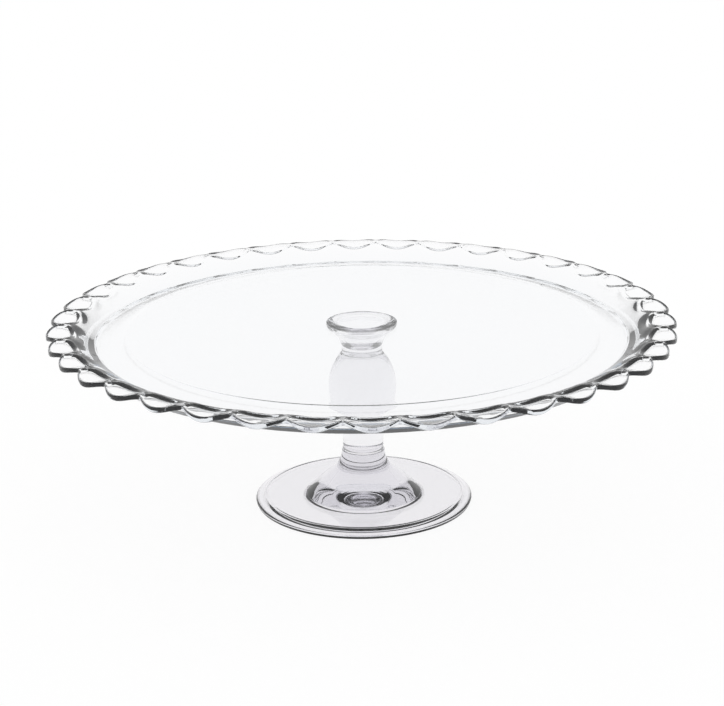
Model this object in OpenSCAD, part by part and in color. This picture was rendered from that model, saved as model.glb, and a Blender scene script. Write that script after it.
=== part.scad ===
// Footed cake stand in clear pressed glass: a crowned plate with a petalled rim,
// a collar, a baluster stem and a round foot, fused to each other at flat seats.
// Millimetres, +Z up, origin on the floor at the centre of the foot.

/* [Plate] */
// Radius of the plate over the petal tips
rim_r = 161; // [140:1:190]
// Number of petals round the rim
petals = 38; // [34:1:44]
// How far a notch between two petals lies inside the tips
notch_depth = 4.6; // [3.5:0.1:5.5]
// How far the blunt bottom of a notch lies outside the sharp one
notch_blunt = 0.6; // [0.3:0.1:1.2]
// Length of a petal's scoop, from its inner arch to the tip
scoop_len = 15.5; // [13:0.5:18]
// Thickness of a petal
petal_t = 2.5; // [1.8:0.1:4]
// Drop of the petal tips below the ridges
petal_drop = 1.6; // [1:0.1:2.4]
// Width of the ridges between two scoops
ridge_w = 1.2; // [0.8:0.1:2]
// Height of the ridges above the edge of the floor
rim_rise = 6.7; // [5:0.1:9]
// Thickness of the floor
floor_t = 5; // [4:0.1:8]
// Rise of the floor from its edge to its centre
floor_crown = 5.5; // [2:0.5:8]
// Rounding where the floor turns up into the rim
floor_round = 2.5; // [1:0.5:6]
// How far the ring under the lip stands below the sheet of the floor
base_drop = 1; // [0.5:0.1:2]

/* [Stem] */
// Radius of the collar's ring under the plate
collar_r = 18.1; // [15:0.1:24]
// Height of the collar
collar_h = 16.4; // [13:0.1:24]
// Height of the collar's ring
collar_ring = 2.8; // [1.5:0.1:4]
// Radius of the hollow in the collar at its mouth
cup_r = 12.3; // [9:0.1:14]
// Radius of the hollow in the collar at its floor
cup_floor_r = 6; // [4:0.1:8]
// Depth of the hollow in the collar
cup_depth = 12.5; // [8:0.1:13]
// Radius of the neck
neck_r = 10.5; // [8:0.1:13]
// Height of the stem between its two joints
stem_h = 48.6; // [46:0.1:65]
// Radius of the bulb at its widest
bulb_r = 17.6; // [15:0.1:22]
// Drop of the widest place of the bulb below the neck's joint
bulb_drop = 17.1; // [12:0.1:20]
// Radius of the arc that shapes the bulb
bulb_arc = 26; // [24:0.5:30]
// Radius of the stem at its waist
waist_r = 10.6; // [8:0.1:13]
// Height of the waist above the foot
waist_up = 4; // [2:0.5:8]

/* [Foot] */
// Radius of the foot
foot_r = 57; // [48:0.5:75]
// Height of the foot
foot_h = 28; // [24:0.5:40]
// Step in radius where the foot meets the waist
foot_step = 0.5; // [0.2:0.1:1.5]
// Radius of the sweep from the waist into the bell
flare_round = 14; // [8:0.5:18]
// Height of the straight neck above the bell
bell_drop = 6.5; // [4:0.5:9]
// Radius at which the bell meets the disc of the foot
bell_r = 31; // [28:0.5:34]
// Height at which the bell meets the disc of the foot
bell_z = 3.7; // [3.2:0.1:4.5]
// Rounding between the bell and the disc
bell_round = 4; // [2:0.5:6]
// Radius of the bead along the edge of the foot
bead_r = 2.3; // [1.8:0.1:3]
// Depth of the groove inside the bead
bead_groove = 0.5; // [0.2:0.1:1]
// Depth by which the bead is ground flat where it stands
bead_flat = 0.25; // [0.1:0.05:0.5]
// Radius of the domed hollow under the foot
hollow_r = 28; // [20:0.5:30]
// Height of the domed hollow
hollow_h = 4.8; // [3:0.1:8]
// Clearance of the foot's underside above the floor, inside its bead
foot_lift = 0.7; // [0.4:0.1:1.2]

/* [Hidden] */
$fn = 96;
glass = [0.84, 0.90, 0.91];

// Levels of the flat joints, from the foot up
stem_z = foot_h;
collar_z = stem_z + stem_h;
plate_z = collar_z + collar_h;

// Floor and rim of the plate
pitch = 360 / petals;
seat_r = collar_r + 1;
floor_r = rim_r - 25;
floor_z = plate_z + floor_t;
edge_z = floor_z - floor_crown;
base_r = floor_r + 2.5;
base_z = edge_z - floor_t - base_drop;
notch_r = rim_r - notch_depth;
arch_r = rim_r - scoop_len;
ridge_z = edge_z + rim_rise;
tip_z = ridge_z - petal_drop;
arch_z = tip_z + 0.2;
ridge_slope = (ridge_z - arch_z) / (notch_r - arch_r);
crown_r = (floor_r * floor_r + floor_crown * floor_crown) / (2 * floor_crown);

// Scoop of a petal: the ball through the arch, the tip and the edges of both ridges
ridge_x = notch_r * cos(pitch / 2);
ridge_y = notch_r * sin(pitch / 2) - ridge_w / 2;
s_tip = pow(rim_r, 2) + pow(tip_z, 2);
s_arch = pow(arch_r, 2) + pow(arch_z, 2) - s_tip;
s_ridge = pow(ridge_x, 2) + pow(ridge_y, 2) + pow(ridge_z, 2) - s_tip;
s_det = 2 * ((arch_r - rim_r) * (ridge_z - tip_z) - (ridge_x - rim_r) * (arch_z - tip_z));
ball_x = (s_arch * (ridge_z - tip_z) - s_ridge * (arch_z - tip_z)) / s_det;
ball_z = ((arch_r - rim_r) * s_ridge - (ridge_x - rim_r) * s_arch) / s_det;
ball_r = norm([rim_r - ball_x, tip_z - ball_z]);
belly_r = ball_r + petal_t;
web_z = ball_z - sqrt(pow(belly_r, 2) - pow(ball_x * sin(pitch / 2), 2)) - 0.15;
cap_r = ball_x * sin(pitch / 2) - 0.04;

// Outline of a petal: an arc through the tip and both sharp notches
sharp_r = notch_r - notch_blunt;
lobe_h = rim_r - sharp_r * cos(pitch / 2);
lobe_w = sharp_r * sin(pitch / 2);
lobe_r = (lobe_w * lobe_w + lobe_h * lobe_h) / (2 * lobe_h);
lobe_x = rim_r - lobe_r;

// Arcs of the collar and the stem
ring_r = collar_r - 1;
neck_up = 2.3;
cup_round = cup_floor_r / 2;
neck_dx = ring_r - neck_r;
neck_dz = collar_h - collar_ring - neck_up;
neck_arc = (neck_dx * neck_dx + neck_dz * neck_dz) / (2 * neck_dx);
neck_a = asin(neck_dz / neck_arc);
bulb_up = stem_h - bulb_drop;
bulb_k = waist_r - bulb_r + bulb_arc;
bulb_d = bulb_up - waist_up;
waist_arc = (bulb_k * bulb_k + bulb_d * bulb_d - bulb_arc * bulb_arc) / (2 * (bulb_arc - bulb_k));
bulb_a = asin(bulb_d / (bulb_arc + waist_arc));
bulb_top = asin(bulb_drop / bulb_arc);

// Corners and arcs of the foot
foot_neck = [waist_r + foot_step, foot_h];
bell_top = [foot_neck[0] + 0.3, foot_h - bell_drop];
bell_low = [bell_r, bell_z];
bead_mid = [foot_r - bead_r, bead_r - bead_flat];
disc_out = [foot_r - 2 * bead_r, 2 * bead_r - bead_flat - bead_groove];
groove_a = acos((disc_out[0] + 0.35 - bead_mid[0]) / bead_r);
flat_a = asin(bead_mid[1] / bead_r);
lift_a = asin((bead_mid[1] - foot_lift) / bead_r);
hollow_arc = (hollow_r * hollow_r + hollow_h * hollow_h) / (2 * hollow_h);
hollow_a = asin(hollow_r / hollow_arc);

// Points of an arc about c
function arc(c, r, a0, a1, n = 16) =
    [for (i = [0:n]) c + r * [cos(a0 + (a1 - a0) * i / n), sin(a0 + (a1 - a0) * i / n)]];

// Points of the rounding of corner b between a and c
function unit(v) = v / norm(v);
function rounded(a, b, c, r, n = 6) =
    let (u = unit(a - b), w = unit(c - b), h = acos(u * w) / 2, o = b + unit(u + w) * r / sin(h),
         p = b + u * r / tan(h) - o, q = b + w * r / tan(h) - o, a0 = atan2(p[1], p[0]),
         d = (atan2(q[1], q[0]) - a0 + 540) % 360 - 180)
    arc(o, r, a0, a0 + d, n);

// Height of the crowned sheet below its centre at radius r
function crown(r) = crown_r - sqrt(crown_r * crown_r - r * r);

// Half section of the plate before the petals are cut
module plate_section() {
    top_in = [floor_r - 10, floor_z - crown(floor_r - 10)];
    crease = [floor_r, edge_z];
    arch = [arch_r, arch_z];
    rim_top = [rim_r + 2, arch_z + ridge_slope * (rim_r + 2 - arch_r)];
    rim_low = [rim_r + 2, web_z + ridge_slope * (rim_r + 2 - ball_x)];
    web_in = [arch_r + 2.5, web_z + ridge_slope * (arch_r + 2.5 - ball_x)];
    base = [base_r, base_z];
    low_in = [floor_r - 10, plate_z - crown(floor_r - 10)];
    polygon(concat(
        [for (i = [0:12]) let (r = (floor_r - 10) * i / 12) [r, floor_z - crown(r)]],
        rounded(top_in, crease, arch, floor_round),
        [arch, rim_top, rim_low],
        rounded(rim_low, web_in, base, 2, 2),
        rounded(web_in, base, low_in, 2),
        [for (i = [12:-1:2]) let (r = max(seat_r, (floor_r - 10) * i / 12)) [r, plate_z - crown(r)]],
        [[seat_r, plate_z - crown(seat_r)], [seat_r, plate_z], [0, plate_z]]));
}

// Outline of the rim: a disc with the arcs of the petals round it
module plate_outline() {
    circle(notch_r);
    for (i = [0:petals - 1]) rotate(i * pitch) translate([lobe_x, 0]) circle(lobe_r);
}

// Bottom of a ball on the axis of a scoop, as wide as one petal, up to the level top
module cap(r, top) {
    translate([ball_x, 0]) rotate_extrude()
        intersection() {
            translate([0, ball_z]) circle(r);
            translate([0, ball_z - r - 1]) square([cap_r, top - ball_z + r + 1]);
        }
}

// Rounded underside of one petal, from inside the lip outwards
module belly() {
    intersection() {
        cap(belly_r, web_z + 0.9);
        translate([arch_r + 2, -cap_r, web_z - 6]) cube([scoop_len + 10, 2 * cap_r, 12]);
    }
}

module plate() {
    color(glass) difference() {
        intersection() {
            union() {
                rotate_extrude() plate_section();
                for (i = [0:petals - 1]) rotate(i * pitch) belly();
            }
            translate([0, 0, base_z - 5]) linear_extrude(ridge_z - base_z + 20) plate_outline();
        }
        for (i = [0:petals - 1]) rotate(i * pitch) cap(ball_r, ridge_z + 2);
    }
}

module collar() {
    cup_mouth = [cup_r, plate_z];
    cup_low = [cup_floor_r, plate_z - cup_depth];
    color(glass) rotate_extrude()
        polygon(concat(
            [[0, collar_z], [neck_r, collar_z]],
            arc([neck_r + neck_arc, collar_z + neck_up], neck_arc, 180, 180 - neck_a),
            [[collar_r, plate_z], cup_mouth],
            rounded(cup_mouth, cup_low, [0, cup_low[1]], cup_round),
            [[0, cup_low[1]]]));
}

module stem() {
    color(glass) rotate_extrude()
        polygon(concat(
            [[0, stem_z], [waist_r, stem_z]],
            arc([waist_r + waist_arc, stem_z + waist_up], waist_arc, 180, 180 - bulb_a),
            arc([bulb_r - bulb_arc, stem_z + bulb_up], bulb_arc, -bulb_a, bulb_top, 28),
            [[0, collar_z]]));
}

module foot() {
    color(glass) rotate_extrude()
        polygon(concat(
            [[0, foot_h], foot_neck],
            rounded(foot_neck, bell_top, bell_low, flare_round, 12),
            rounded(bell_top, bell_low, disc_out, bell_round),
            [disc_out],
            arc(bead_mid, bead_r, groove_a, -flat_a, 24),
            arc(bead_mid, bead_r, flat_a - 180, lift_a - 180, 4),
            arc([0, foot_lift + hollow_h - hollow_arc], hollow_arc, 90 - hollow_a, 90, 12)));
}

plate();
collar();
stem();
foot();
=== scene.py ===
"""Footed glass cake stand with a petalled rim, laid out as an add-on."""

import math

import bmesh
import bpy
import numpy as np
from bpy.props import FloatProperty, FloatVectorProperty, IntProperty, PointerProperty
from mathutils import Matrix, Vector


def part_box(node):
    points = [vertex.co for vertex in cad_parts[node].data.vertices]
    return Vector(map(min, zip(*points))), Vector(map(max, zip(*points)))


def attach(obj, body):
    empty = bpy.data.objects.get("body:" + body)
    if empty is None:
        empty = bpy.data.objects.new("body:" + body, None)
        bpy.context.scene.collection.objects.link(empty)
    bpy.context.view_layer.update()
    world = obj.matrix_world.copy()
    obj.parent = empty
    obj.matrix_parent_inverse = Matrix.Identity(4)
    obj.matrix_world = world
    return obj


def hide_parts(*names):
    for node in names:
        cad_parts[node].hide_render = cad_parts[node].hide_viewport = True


bl_info = {
    "name": "Petal rim cake stand",
    "version": (1, 0, 0),
    "blender": (4, 5, 0),
    "location": "View3D > Sidebar > Cake stand",
    "description": "Builds a footed glass cake stand on its packed frame",
    "category": "Add Mesh",
}

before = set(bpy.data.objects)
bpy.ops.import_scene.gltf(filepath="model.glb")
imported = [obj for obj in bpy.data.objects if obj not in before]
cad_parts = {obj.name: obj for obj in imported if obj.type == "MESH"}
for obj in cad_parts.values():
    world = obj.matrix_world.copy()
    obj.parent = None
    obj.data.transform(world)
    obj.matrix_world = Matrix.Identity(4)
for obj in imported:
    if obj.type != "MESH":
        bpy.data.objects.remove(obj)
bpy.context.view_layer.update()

PLATE_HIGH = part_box("plate")[1]
COLLAR_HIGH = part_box("collar")[1]
STEM_LOW, STEM_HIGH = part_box("stem")
FOOT_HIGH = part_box("foot")[1]

MM = 0.001
# How far two pieces of glass reach into each other at a joint, in millimetres
OVERLAP = 0.03


def mm(value):
    """A frame length in millimetres, to a hundredth."""
    return round(value / MM, 2)


class StandSizes(bpy.types.PropertyGroup):
    """Sizes of the glass in millimetres, with the outer ones taken from the frame."""

    rim_r: FloatProperty(name="Rim radius", description="Over the petal tips", default=mm(PLATE_HIGH.x))
    ridge_z: FloatProperty(name="Ridge height", description="Top of the ridges", default=mm(PLATE_HIGH.z))
    plate_z: FloatProperty(name="Collar joint", description="Height of the seat under the plate",
                           default=mm(COLLAR_HIGH.z))
    collar_z: FloatProperty(name="Neck joint", description="Height of the seam at the neck",
                            default=mm(STEM_HIGH.z))
    stem_z: FloatProperty(name="Waist joint", description="Height of the seam at the waist",
                          default=mm(STEM_LOW.z))
    petals: IntProperty(name="Petals", description="Number of petals round the rim", default=38)
    notch_depth: FloatProperty(name="Notch depth", description="Tips to notches", default=4.6)
    notch_round: FloatProperty(name="Notch rounding", description="Softness of the notches", default=4.0)
    petal_t: FloatProperty(name="Petal thickness", description="Thickness of a petal", default=2.5)
    crest_wave: FloatProperty(name="Crest wave", description="Rise and fall of the petals' border",
                              default=0.85)
    rib_h: FloatProperty(name="Rib height", description="Height of the rib round a scoop", default=0.65)
    rib_w: FloatProperty(name="Rib width", description="Half width of the rib round a scoop", default=1.3)
    scoop_long: FloatProperty(name="Scoop length", description="Half length of a scoop", default=7.0)
    scoop_wide: FloatProperty(name="Scoop width", description="Half width of a scoop", default=12.2)
    scoop_depth: FloatProperty(name="Scoop depth", description="Depth of a scoop", default=0.8)
    lip_w: FloatProperty(name="Lip width", description="Edge of the floor to the petal tips", default=25.0)
    lip_slope: FloatProperty(name="Lip slope", description="Rise of the lip over its run at the floor",
                             default=0.555)
    wall_slope: FloatProperty(name="Wall slope", description="Rise of the wall under the lip over its run",
                              default=0.9)
    rim_rise: FloatProperty(name="Rim rise", description="Floor edge to ridges", default=6.7)
    floor_t: FloatProperty(name="Floor thickness", description="Thickness of the floor", default=5.0)
    floor_crown: FloatProperty(name="Floor crown", description="Rise of the floor to its centre", default=5.5)
    mark_r: FloatProperty(name="Mark radius", description="Ring that the press left on the floor",
                          default=121.0)
    mark_h: FloatProperty(name="Mark height", description="Step at the press ring", default=0.33)
    mark_w: FloatProperty(name="Mark width", description="Softness of the press ring", default=1.0)
    collar_r: FloatProperty(name="Collar radius", description="Ring under the plate",
                            default=mm(COLLAR_HIGH.x))
    cup_r: FloatProperty(name="Cup radius", description="Mouth of the collar's hollow", default=12.3)
    cup_floor_r: FloatProperty(name="Cup floor", description="Floor of the collar's hollow", default=6.0)
    cup_depth: FloatProperty(name="Cup depth", description="Depth of the collar's hollow", default=12.5)
    neck_r: FloatProperty(name="Neck radius", description="Radius of the neck", default=10.5)
    bulb_r: FloatProperty(name="Bulb radius", description="Widest place of the stem", default=mm(STEM_HIGH.x))
    bulb_arc: FloatProperty(name="Bulb arc", description="Radius of the bulb's arc", default=26.0)
    bulb_drop: FloatProperty(name="Bulb drop", description="Neck joint to the bulb's widest place",
                             default=17.1)
    waist_r: FloatProperty(name="Waist radius", description="Radius of the waist", default=10.6)
    waist_up: FloatProperty(name="Waist height", description="Waist above its joint", default=4.0)
    foot_r: FloatProperty(name="Foot radius", description="Radius of the foot", default=mm(FOOT_HIGH.x))
    bead_r: FloatProperty(name="Bead radius", description="Bead along the foot's edge", default=2.3)
    bell_r: FloatProperty(name="Bell radius", description="Where the foot's bell meets its disc",
                          default=31.0)
    bell_z: FloatProperty(name="Bell height", description="Where the foot's bell meets its disc", default=3.7)
    hollow_r: FloatProperty(name="Hollow radius", description="Domed hollow under the foot", default=28.0)
    hollow_h: FloatProperty(name="Hollow height", description="Domed hollow under the foot", default=4.8)


class StandLook(bpy.types.PropertyGroup):
    """Colours and finish of the glass and the stage."""

    glass: FloatVectorProperty(name="Glass", description="Colour that the glass lets through",
                               subtype="COLOR", size=3, default=(0.992, 0.990, 0.994))
    lilac: FloatVectorProperty(name="Lilac", description="Colour that the glass of the stem lets through",
                               subtype="COLOR", size=3, default=(0.982, 0.980, 0.986))
    pale: FloatVectorProperty(name="Pale", description="Colour that the glass of the foot lets through",
                              subtype="COLOR", size=3, default=(0.87, 0.86, 0.885))
    depth: FloatVectorProperty(name="Depth", description="Colour of thick glass",
                               subtype="COLOR", size=3, default=(0.40, 0.50, 0.60))
    smoke: FloatVectorProperty(name="Smoke", description="Colour of the thick glass of the stem",
                               subtype="COLOR", size=3, default=(0.60, 0.59, 0.65))
    # Painted glow: the glass volume emits a faint blue light that stands in for light guided inside the
    # glass.
    painted_glow_colour: FloatVectorProperty(name="Glow", description="Colour of the light guided along the plate",
                              subtype="COLOR", size=3, default=(0.30, 0.52, 0.90))
    painted_glow: FloatProperty(name="Painted glow", description="Strength of the guided light", default=0.04)
    density: FloatProperty(name="Density", description="How fast thick glass takes on its colour",
                           default=10.0)
    ior: FloatProperty(name="Index", description="Index of refraction", default=1.52)
    ripple: FloatProperty(name="Ripple", description="Depth of the pressed surface's waves in millimetres",
                          default=0.02)


def sizes():
    return bpy.context.scene.stand_sizes


def look():
    return bpy.context.scene.stand_look


def arc(cx, cz, r, a0, a1, n):
    """Points of an arc in the section plane, angles in degrees."""
    steps = [math.radians(a0 + (a1 - a0) * i / n) for i in range(n + 1)]
    return [(cx + r * math.cos(a), cz + r * math.sin(a)) for a in steps]


def line(a, b, n):
    """Points from a to b, without b."""
    return [(a[0] + (b[0] - a[0]) * i / n, a[1] + (b[1] - a[1]) * i / n) for i in range(n)]


def rounded(a, b, c, r, n):
    """Points of the rounding of corner b between a and c."""
    a, b, c = Vector(a), Vector(b), Vector(c)
    u, w = (a - b).normalized(), (c - b).normalized()
    half = math.acos(max(-1.0, min(1.0, u.dot(w)))) / 2
    o = b + (u + w).normalized() * r / math.sin(half)
    p, q = b + u * r / math.tan(half) - o, b + w * r / math.tan(half) - o
    a0 = math.degrees(math.atan2(p.y, p.x))
    swing = (math.degrees(math.atan2(q.y, q.x)) - a0 + 540) % 360 - 180
    return arc(o.x, o.y, r, a0, a0 + swing, n)


def smooth_min(a, b, k):
    """The lower of two heights, with their crossing rounded over k."""
    h = np.maximum(k - np.abs(a - b), 0.0) / k
    return np.minimum(a, b) - h * h * k / 4


def section(bm, points):
    """Vertices and edges of a half section in the XZ plane, from millimetres."""
    verts = [bm.verts.new((r * MM, 0.0, z * MM)) for r, z in points]
    return verts, [bm.edges.new(pair) for pair in zip(verts, verts[1:])]


def turn(bm, verts, edges, steps, parts=4):
    """Spins a half section through one of its like parts and repeats that to a closed body."""
    share = 2 * math.pi / parts
    bmesh.ops.spin(bm, geom=verts + edges, cent=(0, 0, 0), axis=(0, 0, 1), dvec=(0, 0, 0),
                   angle=share, steps=steps // parts, use_merge=False, use_duplicate=False)
    first = bm.faces[:]
    for i in range(1, parts):
        copy = bmesh.ops.duplicate(bm, geom=first)["geom"]
        bmesh.ops.rotate(bm, verts=[g for g in copy if isinstance(g, bmesh.types.BMVert)],
                         matrix=Matrix.Rotation(share * i, 3, "Z"))
    bmesh.ops.remove_doubles(bm, verts=bm.verts, dist=1e-6)
    bmesh.ops.recalc_face_normals(bm, faces=bm.faces)


def piece(bm, name, material, node):
    """Makes the mesh an object that stands for a frame node."""
    mesh = bpy.data.meshes.new(name)
    for face in bm.faces:
        face.smooth = True
    bm.to_mesh(mesh)
    bm.free()
    obj = bpy.data.objects.new(name, mesh)
    bpy.context.scene.collection.objects.link(obj)
    mesh.materials.append(material)
    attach(obj, "root")
    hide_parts(node)
    return obj


def ripple_group():
    """Waves and fine grain of a pressed glass surface, as a height and a roughness."""
    name = "Pressed glass skin"
    if name in bpy.data.node_groups:
        return bpy.data.node_groups[name]
    group = bpy.data.node_groups.new(name, "ShaderNodeTree")
    face = group.interface
    for label, value in (("Wave scale", 40.0), ("Grain scale", 900.0), ("Polish", 0.004)):
        face.new_socket(label, in_out="INPUT", socket_type="NodeSocketFloat").default_value = value
    for label in ("Height", "Roughness"):
        face.new_socket(label, in_out="OUTPUT", socket_type="NodeSocketFloat")
    nodes, links = group.nodes, group.links
    given, out = nodes.new("NodeGroupInput"), nodes.new("NodeGroupOutput")
    place = nodes.new("ShaderNodeTexCoord")
    wave, grain = nodes.new("ShaderNodeTexNoise"), nodes.new("ShaderNodeTexNoise")
    wave.inputs["Detail"].default_value = 1.0
    grain.inputs["Detail"].default_value = 2.0
    links.new(place.outputs["Object"], wave.inputs["Vector"])
    links.new(place.outputs["Object"], grain.inputs["Vector"])
    links.new(given.outputs["Wave scale"], wave.inputs["Scale"])
    links.new(given.outputs["Grain scale"], grain.inputs["Scale"])
    links.new(wave.outputs["Fac"], out.inputs["Height"])
    rough = nodes.new("ShaderNodeMath")
    rough.operation = "MULTIPLY"
    links.new(grain.outputs["Fac"], rough.inputs[0])
    links.new(given.outputs["Polish"], rough.inputs[1])
    links.new(rough.outputs["Value"], out.inputs["Roughness"])
    return group


def glass(name, tint, depth, wave_scale, ripple):
    """Clear glass with a faint tint in its depth, a painted glow standing in for guided light and a softly
    waved skin.
    """
    mat = bpy.data.materials.new(name)
    mat.use_nodes = True
    nodes, links = mat.node_tree.nodes, mat.node_tree.links
    shader, out = nodes["Principled BSDF"], nodes["Material Output"]
    shader.inputs["Base Color"].default_value = (*tint, 1.0)
    shader.inputs["IOR"].default_value = look().ior
    shader.inputs["Transmission Weight"].default_value = 1.0
    shader.inputs["Metallic"].default_value = 0.0
    skin = nodes.new("ShaderNodeGroup")
    skin.node_tree = ripple_group()
    skin.inputs["Wave scale"].default_value = wave_scale
    bump = nodes.new("ShaderNodeBump")
    bump.inputs["Strength"].default_value = 1.0
    bump.inputs["Distance"].default_value = ripple * MM
    links.new(skin.outputs["Height"], bump.inputs["Height"])
    links.new(bump.outputs["Normal"], shader.inputs["Normal"])
    links.new(skin.outputs["Roughness"], shader.inputs["Roughness"])
    # Painted glow: a faint blue emission in the glass volume stands in for light guided inside the glass.
    inside, painted_glow = nodes.new("ShaderNodeVolumeAbsorption"), nodes.new("ShaderNodeEmission")
    inside.inputs["Color"].default_value = (*depth, 1.0)
    inside.inputs["Density"].default_value = look().density
    painted_glow.inputs["Color"].default_value = (*look().painted_glow_colour, 1.0)
    painted_glow.inputs["Strength"].default_value = look().painted_glow
    both = nodes.new("ShaderNodeAddShader")
    links.new(inside.outputs["Volume"], both.inputs[0])
    links.new(painted_glow.outputs["Emission"], both.inputs[1])
    links.new(both.outputs["Shader"], out.inputs["Volume"])
    return mat


def plate_levels(s):
    """Derived sizes of the plate's floor, lip and petals."""
    base_out, base_drop, land_run = 2.5, 1.0, 5.0
    pitch = 2 * math.pi / s.petals
    v = {"pitch": pitch, "notch_round": s.notch_round, "lip": s.lip_slope, "wall": s.wall_slope}
    v["floor_r"] = s.rim_r - s.lip_w
    v["edge_z"] = s.ridge_z - s.rim_rise
    v["floor_z"] = v["edge_z"] + s.floor_crown
    v["base"] = (v["floor_r"] + base_out, v["edge_z"] - s.floor_t - base_drop)
    v["land_r"] = v["floor_r"] + land_run
    v["land_z"] = v["edge_z"] + land_run * v["lip"]
    v["bend"] = v["lip"] ** 2 / (4 * (s.ridge_z - s.rib_h - s.crest_wave - v["land_z"]))
    v["crown_r"] = (v["floor_r"] ** 2 + s.floor_crown ** 2) / (2 * s.floor_crown)
    sharp = s.rim_r - s.notch_depth - s.notch_round / 4
    lobe_h, lobe_w = s.rim_r - sharp * math.cos(pitch / 2), sharp * math.sin(pitch / 2)
    v["lobe_r"] = (lobe_w ** 2 + lobe_h ** 2) / (2 * lobe_h)
    v["lobe_x"] = s.rim_r - v["lobe_r"]
    return v


def crown(v, r):
    """Fall of the crowned floor below its centre at radius r."""
    return v["crown_r"] - math.sqrt(v["crown_r"] ** 2 - r * r)


def fall_of(s, r):
    """Height of the press mark, a soft step in the floor's top, above the sheet outside it."""
    lean_h, lean_w = 0.35, 8
    lean = lean_h * math.exp(-max(0.0, r - s.mark_r) / lean_w)
    return lean + s.mark_h * (0.5 - math.atan((r - s.mark_r) / s.mark_w) / math.pi)


def land(v, r):
    """Height of the lip as it bends over from its slope to the petals."""
    petal_slope = 0.06
    t = r - v["land_r"]
    turned = v["lip"] / (2 * v["bend"])
    bent = np.minimum(t, turned)
    over = petal_slope * np.maximum(t - turned, 0.0)
    return v["land_z"] + v["lip"] * bent - v["bend"] * bent * bent + over


def wall(v, r):
    """Height of the slanting wall between the plate's base and its petals."""
    return v["base"][1] + v["wall"] * (r - v["base"][0])


def plate_section(s, v):
    """Half section of the plate and, for each point, its place in the petals' skin.

    The place is -1 off the petals, 1 on top of them, 0 below them and between the two on their edge."""
    inner, start, end = v["floor_r"] - 9, v["land_r"], s.rim_r - 1.1
    crease_round, base_round, square = 1.4, 2, 0.6
    top_in = (inner, v["floor_z"] - crown(v, inner))
    crease, lip = (v["floor_r"], v["edge_z"]), (start, v["land_z"])
    low_in = (inner, s.plate_z - crown(v, inner))
    pts, skin = [], []

    def add(points, value):
        pts.extend(points)
        skin.extend([value] * len(points))

    marks = [s.mark_r + w for w in (-12, -8, -5, -3.2, -2, -1.2, -0.7, -0.3, 0, 0.3, 0.7, 1.2, 2, 3.2, 5)]
    for r in [(s.mark_r - 12) * i / 9 for i in range(9)] + marks:
        add([(r, v["floor_z"] - crown(v, r) + fall_of(s, r))], -1)
    add(rounded(top_in, crease, lip, crease_round, 8), -1)
    add(line(pts[-1], lip, 4)[1:], -1)
    tops = 46
    for i in range(tops + 1):
        r = start + (end - start) * i / tops
        add([(r, land(v, r))], 1)
    for a in range(75, -90, -15):
        up, out = math.sin(math.radians(a)), math.cos(math.radians(a))
        share = math.copysign(abs(up) ** square, up) * 0.5 + 0.5
        add([(end + (s.rim_r - end) * out ** square, land(v, end) - s.petal_t * (1 - share))], share)
    lows, under = 24, (start, wall(v, start))
    for i in range(lows + 1):
        r = end + (start - end) * i / lows
        add([(r, min(land(v, r) - s.petal_t, wall(v, r)))], 0)
    base = rounded(under, v["base"], low_in, base_round, 6)
    add(line(pts[-1], base[0], 4)[1:], -1)
    add(base, -1)
    seat = s.collar_r + 1
    add([(r, s.plate_z - crown(v, r) + crown(v, seat)) for r in
         (inner - (inner - seat) * i / 9 for i in range(10))], -1)
    add([(seat * 0.5, s.plate_z), (0.0, s.plate_z)], -1)
    return pts, skin


def outline(v, a):
    """Radius of the petal outline at angle a from the middle of a petal, notches blunted."""
    def lobe(b):
        across = v["lobe_r"] ** 2 - (v["lobe_x"] * np.sin(b)) ** 2
        return v["lobe_x"] * np.cos(b) + np.sqrt(np.maximum(0.0, across))

    return -smooth_min(-lobe(a), -lobe(v["pitch"] - np.abs(a)), v["notch_round"])


def shape_petals(mesh, s, v):
    """Draws the columns towards the ridges, then presses the scoops and bellies of the petals."""
    draw, grow_w, belly_share, ridge_lift = 0.5, 8, 0.75, 0.35
    scoop_soft, belly_soft, top_round, wall_round = 0.04, 0.25, 0.3, 0.8
    co, skin = np.empty(len(mesh.vertices) * 3), np.empty(len(mesh.vertices))
    mesh.vertices.foreach_get("co", co)
    mesh.attributes["skin"].data.foreach_get("value", skin)
    x, y, z = co.reshape(-1, 3).T / MM
    r, angle = np.hypot(x, y), np.arctan2(y, x)
    turns = np.round(angle / v["pitch"])
    u = angle / v["pitch"] - turns
    a = (u + draw * np.sin(2 * np.pi * u) / (2 * np.pi)) * v["pitch"]
    rim = skin >= 0
    start = v["land_r"]
    r = np.where(rim, start + (r - start) * (outline(v, a) - start) / (s.rim_r - start), r)
    px, py = r * np.cos(a), r * np.sin(a)
    wave = np.cos(2 * np.pi * a / v["pitch"])
    grow = np.clip((r - start) / grow_w, 0.0, 1.0)
    grow = grow * grow * (3 - 2 * grow)
    border = land(v, r) - s.crest_wave * wave * grow
    mx, my = (px - s.rim_r + s.scoop_long) / s.scoop_long, py / s.scoop_wide
    ring = np.maximum(np.hypot(mx, my), 0.05)
    inward = (1 - ring) * ring / np.hypot(mx / s.scoop_long, my / s.scoop_wide)
    belly, hollow = 1 - ring ** 2, 1 - ring ** 4
    belly = (belly + np.sqrt(belly ** 2 + belly_soft)) / 2
    hollow = (hollow + np.sqrt(hollow ** 2 + scoop_soft)) / 2
    rib = s.rib_h * np.exp(-(inward / s.rib_w) ** 2)
    top = smooth_min(border - s.scoop_depth * hollow + rib, s.ridge_z, top_round)
    low = border - s.petal_t - belly_share * s.scoop_depth * belly + ridge_lift * (1 - wave) * grow
    low = smooth_min(low, wall(v, r), wall_round)
    z = np.where(rim, low + skin * (top - low), z)
    angle = turns * v["pitch"] + a
    mesh.vertices.foreach_set("co", np.stack((r * np.cos(angle), r * np.sin(angle), z), axis=1).ravel() * MM)
    mesh.attributes.remove(mesh.attributes["skin"])
    mesh.update()


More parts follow.
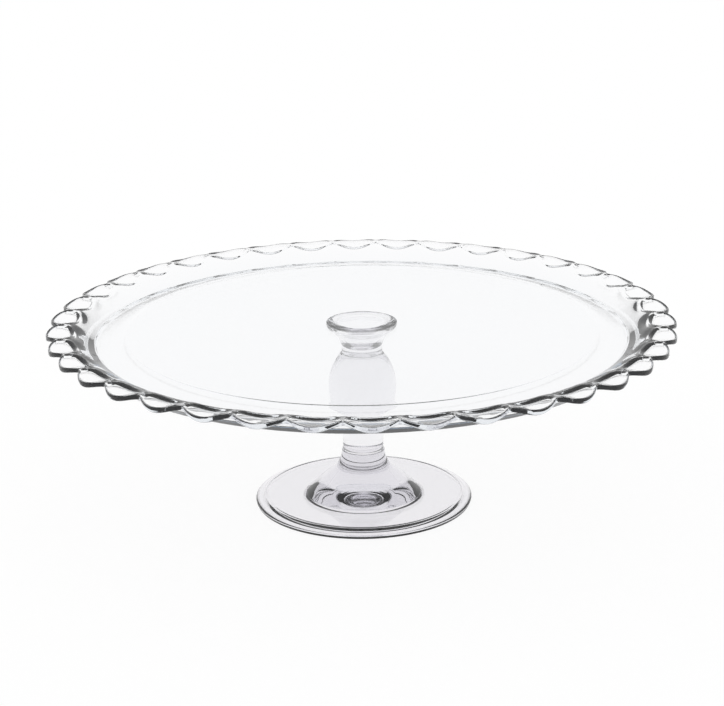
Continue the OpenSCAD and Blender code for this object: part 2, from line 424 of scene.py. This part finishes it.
class STAND_OT_plate(bpy.types.Operator):
    """Spin the plate and press its petals"""

    bl_idname = "stand.plate"
    bl_label = "Plate"

    def execute(self, context):
        s = sizes()
        v = plate_levels(s)
        points, skin = plate_section(s, v)
        bm = bmesh.new()
        layer = bm.verts.layers.float.new("skin")
        verts, edges = section(bm, points)
        for vert, value in zip(verts, skin):
            vert[layer] = value
        columns = 18
        turn(bm, verts, edges, s.petals * columns, s.petals)
        clear = glass("Plate glass", look().glass, look().depth, 30.0, look().ripple)
        obj = piece(bm, "petal_plate", clear, "plate")
        shape_petals(obj.data, s, v)
        return {"FINISHED"}


class STAND_OT_collar(bpy.types.Operator):
    """Turn the collar that carries the plate"""

    bl_idname = "stand.collar"
    bl_label = "Collar"

    def execute(self, context):
        s = sizes()
        ring_h, ring_in, up = 2.8, 1.0, 2.3
        height = s.plate_z - s.collar_z
        dx, dz = s.collar_r - ring_in - s.neck_r, height - ring_h - up
        r = (dx * dx + dz * dz) / (2 * dx)
        sweep = math.degrees(math.asin(dz / r))
        low, high = s.collar_z - OVERLAP, s.plate_z + OVERLAP
        pts = [(0.0, low), (s.neck_r * 0.6, low)]
        pts += [(s.neck_r, low), (s.neck_r, low + 0.8)]
        pts += arc(s.neck_r + r, s.collar_z + up, r, 180, 180 - sweep, 24)
        end = pts[-1]
        pts += rounded(end, (s.collar_r, s.plate_z - ring_h * 0.55), (s.collar_r, s.plate_z), 1.2, 6)
        cup_z = s.plate_z - s.cup_depth
        mouth, lip = (s.cup_r, high), (s.cup_r - 0.4, s.plate_z - 1.0)
        low_in, floor = (s.cup_floor_r, cup_z), (0.0, cup_z)
        pts += [(s.collar_r, s.plate_z - 0.5), (s.collar_r - 0.05, high), mouth]
        pts += rounded(mouth, lip, low_in, 1.0, 4) + rounded(lip, low_in, floor, 3.0, 8) + [floor]
        bm = bmesh.new()
        turn(bm, *section(bm, pts), 128)
        clear = glass("Collar glass", look().lilac, look().smoke, 60.0, look().ripple)
        piece(bm, "flared_collar", clear, "collar")
        return {"FINISHED"}


class STAND_OT_stem(bpy.types.Operator):
    """Turn the baluster stem"""

    bl_idname = "stand.stem"
    bl_label = "Stem"

    def execute(self, context):
        s = sizes()
        bulb_z, waist_z = s.collar_z - s.bulb_drop, s.stem_z + s.waist_up
        k, d = s.waist_r - s.bulb_r + s.bulb_arc, bulb_z - waist_z
        r = (k * k + d * d - s.bulb_arc ** 2) / (2 * (s.bulb_arc - k))
        meet = math.degrees(math.asin(d / (s.bulb_arc + r)))
        top = math.degrees(math.asin((s.collar_z - bulb_z) / s.bulb_arc))
        low, high = s.stem_z - OVERLAP, s.collar_z
        pts = [(0.0, low), (s.waist_r * 0.6, low), (s.waist_r, low), (s.waist_r, low + 1.0)]
        pts += arc(s.waist_r + r, waist_z, r, 180, 180 - meet, 24)
        pts += arc(s.bulb_r - s.bulb_arc, bulb_z, s.bulb_arc, -meet, top - 1.5, 48)[1:]
        last = pts[-1]
        pts += rounded(last, (last[0] - 0.25, high), (0.0, high), 0.5, 5)
        pts += [(last[0] * 0.5, high), (0.0, high)]
        bm = bmesh.new()
        turn(bm, *section(bm, pts), 128)
        clear = glass("Stem glass", look().lilac, look().smoke, 60.0, look().ripple)
        piece(bm, "baluster_stem", clear, "stem")
        return {"FINISHED"}


class STAND_OT_foot(bpy.types.Operator):
    """Turn the foot with its raised edge and hollow underside"""

    bl_idname = "stand.foot"
    bl_label = "Foot"

    def execute(self, context):
        s = sizes()
        step, flat, groove, lift = 0.5, 0.25, 0.5, 0.7
        edge_w, brim_z, heel_in = 6.2, 1.9, 0.6
        neck, stand = s.waist_r + step, s.foot_r - s.bead_r
        inside = (s.foot_r - edge_w, 2 * s.bead_r - flat - groove)
        pts = [(0.0, s.stem_z), (neck * 0.6, s.stem_z)]
        pts += [(neck - 0.3, s.stem_z), (neck, s.stem_z - 0.3)]
        bell_top, bell_low = (neck + 0.3, s.stem_z - 6.5), (s.bell_r, s.bell_z)
        pts += rounded((neck, s.stem_z), bell_top, bell_low, 14, 14)
        pts += rounded(bell_top, bell_low, inside, 4, 8)
        pts += line(pts[-1], inside, 10)[1:]
        pts += [inside, (inside[0] + 0.35, inside[1] - 0.2)]
        crest = (inside[0] + 0.9, inside[1] + 0.2)
        brim, heel = (s.foot_r, brim_z), (s.foot_r - heel_in, 0.0)
        pts += rounded(pts[-1], crest, brim, 0.6, 4) + rounded(crest, brim, heel, 0.9, 8)
        pts += rounded(brim, heel, (stand, 0.0), 0.4, 4) + [(stand - 0.9, 0.0), (stand - 1.7, 0.5)]
        under, edge = (stand - 2.6, lift), (s.hollow_r, lift)
        ball = (s.hollow_r ** 2 + s.hollow_h ** 2) / (2 * s.hollow_h)
        open_a = math.degrees(math.asin(s.hollow_r / ball))
        dome = arc(0.0, lift + s.hollow_h - ball, ball, 90 - open_a, 90, 24)
        pts += line(under, edge, 8)[:-1] + rounded(under, edge, dome[2], 1.5, 5)
        pts += dome[3:-1] + [(0.0, lift + s.hollow_h)]
        bm = bmesh.new()
        turn(bm, *section(bm, pts), 160)
        clear = glass("Foot glass", look().pale, look().smoke, 50.0, look().ripple)
        piece(bm, "beaded_foot", clear, "foot")
        return {"FINISHED"}


def stage_floor():
    """White table top, as bright as the studio round it, that keeps a soft shadow of the stand."""
    table_r, table_gap, own_light = 3.0, 0.0004, 0.9
    bm = bmesh.new()
    bmesh.ops.create_circle(bm, cap_ends=True, segments=96, radius=table_r)
    bmesh.ops.translate(bm, verts=bm.verts, vec=(0, 0, -table_gap))
    mesh = bpy.data.meshes.new("table_top")
    bm.to_mesh(mesh)
    bm.free()
    obj = bpy.data.objects.new("table_top", mesh)
    bpy.context.scene.collection.objects.link(obj)
    mat = bpy.data.materials.new("White table")
    mat.use_nodes = True
    nodes, links = mat.node_tree.nodes, mat.node_tree.links
    nodes.remove(nodes["Principled BSDF"])
    matte, bright = nodes.new("ShaderNodeBsdfDiffuse"), nodes.new("ShaderNodeEmission")
    matte.inputs["Color"].default_value = (1, 1, 1, 1)
    bright.inputs["Strength"].default_value = 1.0
    mix = nodes.new("ShaderNodeMixShader")
    mix.inputs["Fac"].default_value = own_light
    links.new(matte.outputs[0], mix.inputs[1])
    links.new(bright.outputs[0], mix.inputs[2])
    links.new(mix.outputs[0], nodes["Material Output"].inputs["Surface"])
    mesh.materials.append(mat)


def stage_world():
    """White studio, the same to the eye, to reflections and through the glass."""
    world = bpy.data.worlds.new("White studio")
    bpy.context.scene.world = world
    world.use_nodes = True
    ground = world.node_tree.nodes["Background"]
    ground.inputs["Color"].default_value = (1, 1, 1, 1)
    ground.inputs["Strength"].default_value = 1.0


def stage_camera():
    """Camera at the height and distance the picture was taken from."""
    data = bpy.data.cameras.new("Camera")
    film, picture_w, focal = 36.0, 724.0, 2060.0
    data.sensor_width, data.lens = film, film * focal / picture_w
    data.clip_start, data.clip_end = 0.05, 50.0
    obj = bpy.data.objects.new("Camera", data)
    bpy.context.scene.collection.objects.link(obj)
    side, down, roll = (math.radians(a) for a in (-86.68, 17.98, 0.754))
    away, up = 1.0124, 0.4087
    place = Matrix.Translation((away * math.cos(side), away * math.sin(side), up))
    obj.matrix_world = (place @ Matrix.Rotation(side + math.pi / 2, 4, "Z")
                        @ Matrix.Rotation(math.pi / 2 - down, 4, "X") @ Matrix.Rotation(-roll, 4, "Z"))
    bpy.context.scene.camera = obj


class STAND_OT_stage(bpy.types.Operator):
    """Lay the table, light it and set the camera"""

    bl_idname = "stand.stage"
    bl_label = "Stage"

    def execute(self, context):
        stage_floor()
        stage_world()
        stage_camera()
        context.scene.view_settings.view_transform = "Standard"
        return {"FINISHED"}


class STAND_PT_panel(bpy.types.Panel):
    """Buttons that build the stand piece by piece"""

    bl_label = "Cake stand"
    bl_idname = "STAND_PT_panel"
    bl_space_type = "VIEW_3D"
    bl_region_type = "UI"
    bl_category = "Cake stand"

    def draw(self, context):
        for step in STEPS:
            self.layout.operator(step.bl_idname)


STEPS = (STAND_OT_plate, STAND_OT_collar, STAND_OT_stem, STAND_OT_foot, STAND_OT_stage)
CLASSES = (StandSizes, StandLook) + STEPS + (STAND_PT_panel,)


def register():
    for cls in CLASSES:
        bpy.utils.register_class(cls)
    bpy.types.Scene.stand_sizes = PointerProperty(type=StandSizes)
    bpy.types.Scene.stand_look = PointerProperty(type=StandLook)


def unregister():
    del bpy.types.Scene.stand_sizes
    del bpy.types.Scene.stand_look
    for cls in reversed(CLASSES):
        bpy.utils.unregister_class(cls)


def main():
    register()
    bpy.ops.stand.plate()
    bpy.ops.stand.collar()
    bpy.ops.stand.stem()
    bpy.ops.stand.foot()
    bpy.ops.stand.stage()


if __name__ == "__main__":
    main()
